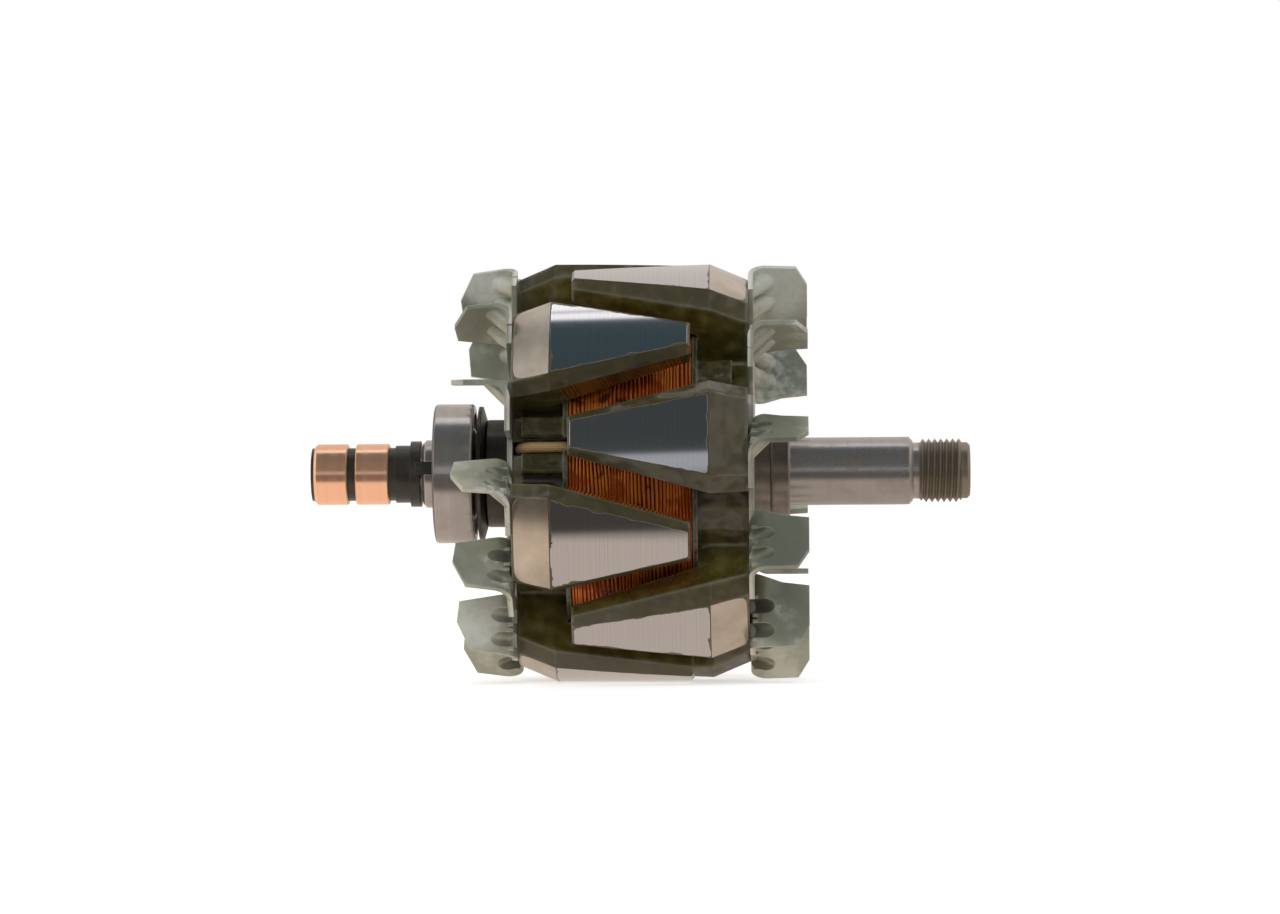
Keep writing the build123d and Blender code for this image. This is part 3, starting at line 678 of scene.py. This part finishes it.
paint(collar_steel, "drive_collar", "drive_spacer_ring")
paint(dark_steel, "rear_spacer_collar", "slinger_disc")
paint(ring_steel, "bearing_outer_ring", "bearing_inner_ring")

ball_steel, tree, at = start("ball_steel")
surface(tree, {"Base Color": (0.7, 0.69, 0.68), "Metallic": 1.0, "Roughness": 0.06})
paint(ball_steel, "bearing_balls")

# %% [markdown]
# Plastics and rubber: the black slip ring moulding, the cage and the two seals. A moulded skin has
# a fine grain from its mould, and handling pales its edges, so one recipe does for all of them. The
# grain could be real relief, but as a bump it costs no triangles.

# %% Mouldings


def moulding(name, colour, worn, grain_size, roughness):
    """A matt moulding with a fine grain and paler edges."""
    material, tree, at = start(name)
    edge = use(tree, worn_edge, Width=0.3 * millimetre)
    cloud = patches(tree, at, size=0.005, low=0.4, high=0.7)
    share = plus(tree, times(tree, edge["Mask"], 0.4), times(tree, cloud, 0.25))
    surface(
        tree,
        {"Base Color": mix(tree, share, colour, worn), "Roughness": roughness},
        height=grain(tree, at, grain_size),
        depth=0.03 * millimetre,
        normal=edge["Normal"],
    )
    return material


carrier_plastic = moulding("carrier_plastic", (0.02, 0.019, 0.013), (0.1, 0.09, 0.065), 0.0004, 0.36)
cage_plastic = moulding("cage_plastic", (0.55, 0.48, 0.3), (0.7, 0.65, 0.46), 0.0006, 0.4)
seal_rubber = moulding("seal_rubber", (0.017, 0.016, 0.015), (0.07, 0.06, 0.055), 0.0003, 0.5)
paint(carrier_plastic, "slip_ring_carrier")
paint(cage_plastic, "bearing_cage")
paint(seal_rubber, "inboard_bearing_seal", "outboard_bearing_seal")

# %% [markdown]
# The slip rings are copper that the brushes polish in bands. The bands could be given one by one,
# but a coarse turning line makes them uneven as wear does, in tint and in roughness. The wires of
# the leads and the bars that carry them on are plain copper.

# %% Copper
ring_copper, tree, at = start("ring_copper")
bands = lathe_rings(tree, at, 1.6 * millimetre)
copper = mix(tree, bands, (0.96, 0.5, 0.31), (1.0, 0.62, 0.42))
surface(
    tree,
    {"Base Color": copper, "Metallic": 0.78, "Roughness": ramp(tree, bands, 0.3, 0.7, 0.18, 0.25)},
    height=lathe_rings(tree, at, 0.22 * millimetre),
    depth=0.001 * millimetre,
    normal=use(tree, worn_edge, Width=0.3 * millimetre)["Normal"],
)
paint(ring_copper, "slip_ring_inboard", "slip_ring_outboard")

lead_copper, tree, at = start("lead_copper")
surface(
    tree,
    {"Base Color": (0.6, 0.2, 0.07), "Metallic": 1.0, "Roughness": 0.35},
    height=grain(tree, at, 0.3 * millimetre),
    depth=0.02 * millimetre,
)
paint(lead_copper, "front_lead_wire", "back_lead_wire", "front_conductor_bar", "back_conductor_bar")

# %% [markdown]
# The leads wear a woven sleeve, soaked with varnish in places. Its yarns could be modelled, but they
# are too fine to be seen one by one.

# %% Sleeve
yarn_pitch = 0.9 * millimetre
sleeve_fabric, tree, at = start("sleeve_fabric")
height = add(tree, "SeparateXYZ", {0: at["Point"]}).outputs[2]
along = times(tree, at["Along"], 2 * math.pi / yarn_pitch)
upwards = times(tree, height, 2 * math.pi / yarn_pitch)
rising = maths(tree, "SINE", plus(tree, along, upwards))
falling = maths(tree, "SINE", minus(tree, along, upwards))
yarn = ramp(tree, times(tree, rising, falling), -0.6, 0.6)
soak = patches(tree, at, size=0.006, low=0.42, high=0.55)
tan = mix(tree, yarn, (0.32, 0.21, 0.1), (0.6, 0.44, 0.25))
tan = mix(tree, times(tree, soak, 0.75), tan, (0.5, 0.31, 0.14))
surface(
    tree,
    {"Base Color": tan, "Roughness": 0.5, "Coat Weight": 0.3, "Coat Roughness": 0.2},
    height=yarn,
    depth=0.08 * millimetre,
)
paint(sleeve_fabric, "front_lead_sleeve", "back_lead_sleeve")

# %% [markdown]
# Two pieces are rebuilt as computed surfaces, because their fine form is left out of the solids.
# Both are turned forms. A screw modifier could turn a fixed outline, but here the radius changes on
# the way round as well. So one helper makes both from tables of stations, radii and angles: a grid
# whose rows follow the outline and whose columns run round the shaft.

# %% Turned surfaces


def turned_surface(name, stations, radii, angles, closed):
    """The surface (x, -r cos a, r sin a) over a grid of rows and columns, all three being tables.

    The columns always join up round the shaft. The rows join up into a ring if closed, and
    otherwise run towards +X with a flat cap at each end."""
    rows, columns = radii.shape
    points = np.stack((stations, -radii * np.cos(angles), radii * np.sin(angles)), axis=-1)
    row = np.arange(rows if closed else rows - 1)[:, None]
    column = np.arange(columns)[None, :]
    next_row, next_column = (row + 1) % rows, (column + 1) % columns
    corners = (
        row * columns + column,
        next_row * columns + column,
        next_row * columns + next_column,
        row * columns + next_column,
    )
    quads = np.stack(corners, axis=-1).reshape(-1, 4)
    loops, sizes = quads.ravel(), np.full(len(quads), 4)
    if not closed:
        cap = np.arange(columns)
        loops = np.concatenate((loops, cap, cap[::-1] + (rows - 1) * columns))
        sizes = np.concatenate((sizes, (columns, columns)))
    mesh = bpy.data.meshes.new(name)
    mesh.vertices.add(rows * columns)
    mesh.vertices.foreach_set("co", points.ravel())
    mesh.loops.add(len(loops))
    mesh.loops.foreach_set("vertex_index", loops)
    mesh.polygons.add(len(sizes))
    mesh.polygons.foreach_set("loop_start", np.cumsum(sizes) - sizes)
    mesh.update(calc_edges=True)
    mesh.shade_smooth()
    mesh.set_sharp_from_angle(angle=math.radians(40))
    piece = bpy.data.objects.new(name, mesh)
    bpy.context.scene.collection.objects.link(piece)
    print(name, rows, "rows of", columns, "columns")
    return piece


# %% [markdown]
# The shaft carries a real M16 x 1.5 thread, and a screw modifier could wind one, but it would have
# to be joined to the shaft. Here the whole shaft is one surface, and the thread is in its radius.
# First comes the turned outline in millimetres, from the slip ring end to the threaded end. Rows 2
# to 6 of it, counted from 0, run from the step at the stub to just inside the rear pole, and these
# are the ones that the lead grooves cut.

# %% Shaft outline
rear_end, shaft_end = (corner[0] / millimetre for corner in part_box("shaft"))
tail_end = rear_end + 27.7
slinger_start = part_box("slinger_disc")[1][0] / millimetre
groove_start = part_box("rear_claw_pole")[0][0] / millimetre + 3.0
seat_end, undercut_start = shaft_end - 15.3, shaft_end - 14.3
thread_start, thread_stop = shaft_end - 12.7, shaft_end - 2.0
print("stations", [round(v, 1) for v in (rear_end, tail_end, slinger_start, groove_start, shaft_end)])
stub_radius, seat_radius, core_radius = 4.5, 8.5, 8.8
undercut_radius, thread_radius = 7.05, 8.0
seat_chamfer, seat_taper, dog_chamfer = 0.8, 1.0, 0.7
run_in, run_out, rows_in_thread = 0.9, 0.5, 170
first_grooved, last_grooved = 2, 6

outline = np.array(
    [
        (rear_end, stub_radius),
        (tail_end, stub_radius),
        (tail_end, seat_radius - seat_chamfer),
        (tail_end + seat_chamfer, seat_radius),
        (slinger_start, seat_radius),
        (slinger_start, core_radius),
        (groove_start, core_radius),
        (groove_start, core_radius),
        (0.0, core_radius),
        (0.0, seat_radius),
        (seat_end, seat_radius),
        (undercut_start, seat_radius - seat_taper),
        (undercut_start, undercut_radius),
        (thread_start, undercut_radius),
    ]
)
thread_rows = np.linspace(thread_start, thread_stop, rows_in_thread + 2)[1:-1]
full_thread = (thread_start, thread_start + run_in, thread_stop - run_out, thread_stop)
thread_form = (undercut_radius, thread_radius, thread_radius, undercut_radius)
thread_outside = np.interp(thread_rows, full_thread, thread_form)
dog = np.array(
    [
        (thread_stop, undercut_radius),
        (shaft_end - dog_chamfer, undercut_radius),
        (shaft_end, undercut_radius - dog_chamfer),
    ]
)
steps = np.concatenate((outline[:, 0], thread_rows, dog[:, 0]))
turned = np.concatenate((outline[:, 1], thread_outside, dog[:, 1]))
row_number = np.arange(len(steps))
is_grooved = (row_number >= first_grooved) & (row_number <= last_grooved)
is_thread = (row_number >= len(outline)) & (row_number < len(outline) + rows_in_thread)
is_stub = turned == stub_radius

# %% [markdown]
# The two lead grooves under the bearing are cut into the same grid, which saves a boolean. Half a
# turn of columns is seven over the groove and then the round arc up to the next groove. Where the
# shaft is grooved, the seven run down one wall, across the floor and up the other. A point of the
# floor at a height h and a distance w aside has the radius hypot(w, h) and the angle atan2(w, h).

# %% Shaft grooves
groove_half, groove_floor = 1.6, 4.6
floor_columns, arc_columns = 5, 58
groove_columns = floor_columns + 2
floor_points = np.linspace(-groove_half, groove_half, floor_columns)
aside = np.concatenate(([-groove_half], floor_points, [groove_half]))
spread = np.linspace(-1, 1, groove_columns)[None, :]
plain_angles = np.arcsin(groove_half / turned)[:, None] * spread
plain_radii = np.repeat(turned[:, None], groove_columns, axis=1)
heights = np.full(plain_radii.shape, groove_floor)
heights[:, [0, -1]] = np.sqrt(turned**2 - groove_half**2)[:, None]
cut_angles, cut_radii = np.arctan2(aside, heights), np.hypot(aside, heights)
foot = math.atan2(groove_half, groove_floor)
near_angles = np.where(is_grooved[:, None], cut_angles, plain_angles)
near_angles = np.where(is_stub[:, None], foot * np.clip(spread * 1.5, -1, 1), near_angles)
near_radii = np.where(is_grooved[:, None], cut_radii, plain_radii)
arc_start = near_angles[:, -1:]
arc = np.linspace(0, 1, arc_columns + 2)[None, 1:-1]
arc_angles = arc_start + (np.pi - 2 * arc_start) * arc
arc_radii = np.repeat(turned[:, None], arc_columns, axis=1)
half_angles = np.concatenate((near_angles, arc_angles), axis=1)
half_radii = np.concatenate((near_radii, arc_radii), axis=1)
angles = np.concatenate((half_angles, half_angles + np.pi), axis=1) + math.radians(middle_claw)
radii = np.concatenate((half_radii, half_radii), axis=1)
print("shaft grid", radii.shape)

# %% [markdown]
# The thread's radius is the smaller of two: the turned outline, and a helix that dips by a triangle
# wave of the station less one pitch per turn, cut off flat at the crest and the root. The half pitch
# that is added brings its crests to where the photograph shows them.

# %% Shaft with its thread
thread_pitch, thread_depth = 1.5, 0.92
crest_flat, flanks, crest_wear = 0.06, 0.86, 0.04
turns_on = steps[:, None] / thread_pitch - angles / (2 * np.pi) + 0.5
wave = np.abs(2 * (turns_on % 1.0) - 1)
helix = thread_radius - crest_wear - thread_depth * np.clip((wave - crest_flat) / flanks, 0, 1)
radii = np.where(is_thread[:, None], np.minimum(radii, helix), radii)
stations = np.repeat(steps[:, None], radii.shape[1], axis=1)
threaded_shaft = turned_surface(
    "threaded_shaft", stations * millimetre, radii * millimetre, angles, closed=False
)
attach(threaded_shaft, "rotor")
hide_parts("shaft")
paint(shaft_steel, "threaded_shaft")

# %% [markdown]
# The winding shows its top layer: turns of enamelled wire lying side by side. A curve with a round
# bevel could wind them, but would give thousands of hidden faces. So it is one skin: across each
# turn the radius follows a half circle, and each turn wanders a little in and out and sideways, by
# a mean of sines of random phase that closes on itself. All turns lean with their neighbours by the
# same slow waves, less so next to the flanges.

# %% Winding
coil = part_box("field_coil")
coil_start, coil_end = coil[0][0], coil[1][0]
coil_radius = (coil[1][2] - coil[0][2]) / 2
inner_radius = 28.0 * millimetre
turns, rows_per_turn, columns_round = 35, 8, 220
wire = (coil_end - coil_start) / turns
angles = np.linspace(0, 2 * np.pi, columns_round, endpoint=False)


def wander(count, size):
    """Closed wobbles from 0 to size, a row for each turn: the mean of five sines of random phase."""
    phases = random.uniform(0, 2 * np.pi, (5, count, 1))
    waves = np.sin(np.arange(1, 6)[:, None, None] * angles + phases).mean(axis=0)
    return (waves + 1) / 2 * size


across_turn = np.tile((np.arange(rows_per_turn) + 0.5) / rows_per_turn * 2 - 1, turns)[:, None]
bulge = np.sqrt(1 - across_turn**2)
turn_number = np.repeat(np.arange(turns), rows_per_turn)
sunk = random.uniform(0, 0.16, (turns, 1)) * millimetre + wander(turns, 0.22 * millimetre)
slip = (wander(turns, 0.24 * millimetre) - 0.12 * millimetre)[turn_number]
slow_lean = 0.3 * np.sin(3 * angles + 0.3 * turn_number[:, None])
quick_lean = 0.25 * np.sin(7 * angles - 0.4 * turn_number[:, None])
from_flange = np.minimum(turn_number, turns - 1 - turn_number)
freedom = np.clip(from_flange / 3, 0, 1)[:, None]
slip = (slip + (slow_lean + quick_lean) * millimetre) * freedom
centres = coil_start + (turn_number[:, None] + 0.5) * wire
stations = centres + across_turn * wire / 2 + slip
radii = coil_radius - sunk[turn_number] - wire / 2 * (1 - bulge)
ends = np.array(
    [
        (coil_end, coil_radius - wire),
        (coil_end, inner_radius),
        (coil_start, inner_radius),
        (coil_start, coil_radius - wire),
    ]
)
stations = np.concatenate((stations, np.repeat(ends[:, :1], len(angles), axis=1)))
radii = np.concatenate((radii, np.repeat(ends[:, 1:], len(angles), axis=1)))
wound_coil = turned_surface(
    "wound_coil", stations, radii, np.broadcast_to(angles, radii.shape), closed=True
)
crown = np.zeros(radii.shape)
crown[: len(bulge)] = bulge
crown_values = wound_coil.data.attributes.new("crown", "FLOAT", "POINT").data
crown_values.foreach_set("value", crown.ravel())

# %% [markdown]
# The enamel is orange on the crown of each turn, and the gaps between them are dark with painted
# shade. Shadow alone is too weak for that in so bright a studio, so the `crown` written on the mesh
# tells the two apart.
# Each turn has its own tint, from a noise along the shaft. Varnish has soaked in and browned some
# patches, and has dried in dark pools in others.

# %% Winding copper
winding_copper, tree, at = start("winding_copper")
turn_tint = add(
    tree,
    "TexNoise",
    {"W": maths(tree, "DIVIDE", at["Along"], wire), "Scale": 1.0, "Detail": 1.0},
    noise_dimensions="1D",
).outputs[0]
soak = patches(tree, at, size=0.008, low=0.52, high=0.62)
pooled = patches(tree, at, size=0.0055, low=0.6, high=0.68)
ridge = ramp(tree, add(tree, "Attribute", attribute_name="crown").outputs["Fac"], 0.55, 0.98)
copper = mix(tree, ramp(tree, turn_tint, 0.3, 0.7), (0.95, 0.2, 0.022), (1.0, 0.34, 0.05))
# Painted shade: where the crown is low, between the turns, the colour goes dark.
copper = mix(tree, ridge, (0.2, 0.026, 0.006), copper)
copper = mix(tree, times(tree, soak, 0.8), copper, (0.42, 0.065, 0.011))
copper = mix(tree, times(tree, pooled, 0.85), copper, (0.05, 0.02, 0.006))
surface(
    tree,
    {
        "Base Color": copper,
        "Metallic": 0.7,
        "Roughness": 0.34,
        "Coat Weight": 0.12,
        "Coat Roughness": 0.15,
    },
    height=grain(tree, at, 2.0 * millimetre),
    depth=0.08 * millimetre,
)
paint(winding_copper, "field_coil", "wound_coil")
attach(wound_coil, "rotor")
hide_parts("field_coil")

# %% [markdown]
# The stage is a floor under the object. The camera sees it near white, like the photograph's ground,
# with a faint shadow. What the metal mirrors is another matter: there the floor glows by itself, warm
# grey, with a painted pool of light under the slip rings and painted shade in front. Two floors could
# do this, one of them hidden from the camera, but one material can be both, because it can tell the
# camera's rays from all others.

# %% Floor
floor_size = 12.0
floor_height = float(cad_box[0][2]) - 0.1 * millimetre
signs = ((-1, -1), (1, -1), (1, 1), (-1, 1))
floor_mesh = bpy.data.meshes.new("floor")
corners = [(x * floor_size, y * floor_size, floor_height) for x, y in signs]
floor_mesh.from_pydata(corners, [], [(0, 1, 2, 3)])
floor = bpy.data.objects.new("floor", floor_mesh)
bpy.context.scene.collection.objects.link(floor)
floor_paper, tree, at = start("floor_paper")
forwards = add(tree, "SeparateXYZ", {0: at["Point"]}).outputs[1]
# The glow that reflections see: painted shade in front, a painted pool of light under the slip rings.
painted_shade_in_front = ramp(tree, forwards, -0.095, -0.115)
painted_light_under_rings = ramp(tree, at["Along"], -0.085, -0.1)
glow_for_reflections = mix(tree, painted_light_under_rings, (0.66, 0.58, 0.51), (0.95, 0.84, 0.74))
glow_for_reflections = mix(tree, painted_shade_in_front, glow_for_reflections, (0.07, 0.065, 0.06))
seen = add(tree, "LightPath").outputs["Is Camera Ray"]
surface(
    tree,
    {
        "Base Color": mix(tree, seen, (0.0, 0.0, 0.0), (0.94, 0.94, 0.94)),
        "Roughness": 1.0,
        "Specular IOR Level": 0.0,
        "Emission Color": mix(tree, seen, glow_for_reflections, (0.55, 0.55, 0.55)),
        "Emission Strength": 1.0,
    },
)
floor.data.materials.append(floor_paper)
print("floor at", round(floor_height, 4))

# %% [markdown]
# The studio is made of light alone, painted on the world. Lamps and cards could stand round the
# object, but the photograph's own reflections give the plan: each height on a cylinder mirrors one
# direction, from the camera over the top. From the camera's height up to straight overhead the room
# is dark, with one light strip level with the camera. A soft box hangs just behind overhead, split
# by a thin bar, and all behind it is pale. The sides are pale too.

# %% Light
world = bpy.data.worlds.new("studio")
world.use_nodes = True
tree = world.node_tree
tree.nodes.clear()
x, y, z = add(tree, "SeparateXYZ", {0: add(tree, "TexCoord").outputs["Generated"]}).outputs
up = maths(tree, "DEGREES", maths(tree, "ARCTAN2", z, times(tree, y, -1.0)))


def band(low, high, soft):
    """1 between two heights in degrees, measured from the camera over the top, and 0 outside."""
    return times(tree, ramp(tree, up, low, low + soft), ramp(tree, up, high, high - soft))


room = mix(tree, ramp(tree, up, 55.0, 68.0), (0.066, 0.076, 0.076), (0.055, 0.085, 0.098))
room = mix(tree, band(1.0, 12.0, 1.5), room, (0.52, 0.55, 0.6))
behind = maths(tree, "MAXIMUM", ramp(tree, up, 108.0, 111.0), ramp(tree, up, -120.0, -140.0))
room = mix(tree, behind, room, (0.76, 0.71, 0.67))
room = mix(tree, ramp(tree, x, 0.5, 0.72), room, (0.72, 0.68, 0.64))
room = mix(tree, ramp(tree, x, -0.5, -0.72), room, (0.95, 0.91, 0.87))
soft_box = times(tree, band(92.0, 108.0, 1.5), ramp(tree, unsigned(tree, x), 0.55, 0.4))
bar = times(tree, band(97.5, 100.5, 1.2), 0.75)
room = mix(tree, times(tree, soft_box, minus(tree, 1.0, bar)), room, (1.55, 1.55, 1.6))
seen = add(tree, "LightPath").outputs["Is Camera Ray"]
colour = mix(tree, seen, room, (1.0, 1.0, 1.0))
lit = add(tree, "Background", {"Color": colour, "Strength": 1.0})
tree.links.new(lit.outputs[0], add(tree, "OutputWorld").inputs[0])
bpy.context.scene.world = world
print("world", world.name)

# %% [markdown]
# The matt surfaces that face the camera get little from so dark a room. It could be painted
# brighter, but then the bare metal would mirror that. So a broad weak lamp hangs over the camera,
# and reflections leave it out.

# %% Fill light
fill_light = bpy.data.lights.new("fill_light", "AREA")
fill_light.size = 1.2
fill_light.energy = 13.0
fill = bpy.data.objects.new("fill", fill_light)
fill.location = (-0.1, -1.4, 0.85)
fill.rotation_euler = (math.radians(59), 0.0, 0.0)
fill.visible_glossy = False
bpy.context.scene.collection.objects.link(fill)
print("fill light", fill_light.size, "m wide,", fill_light.energy, "W")
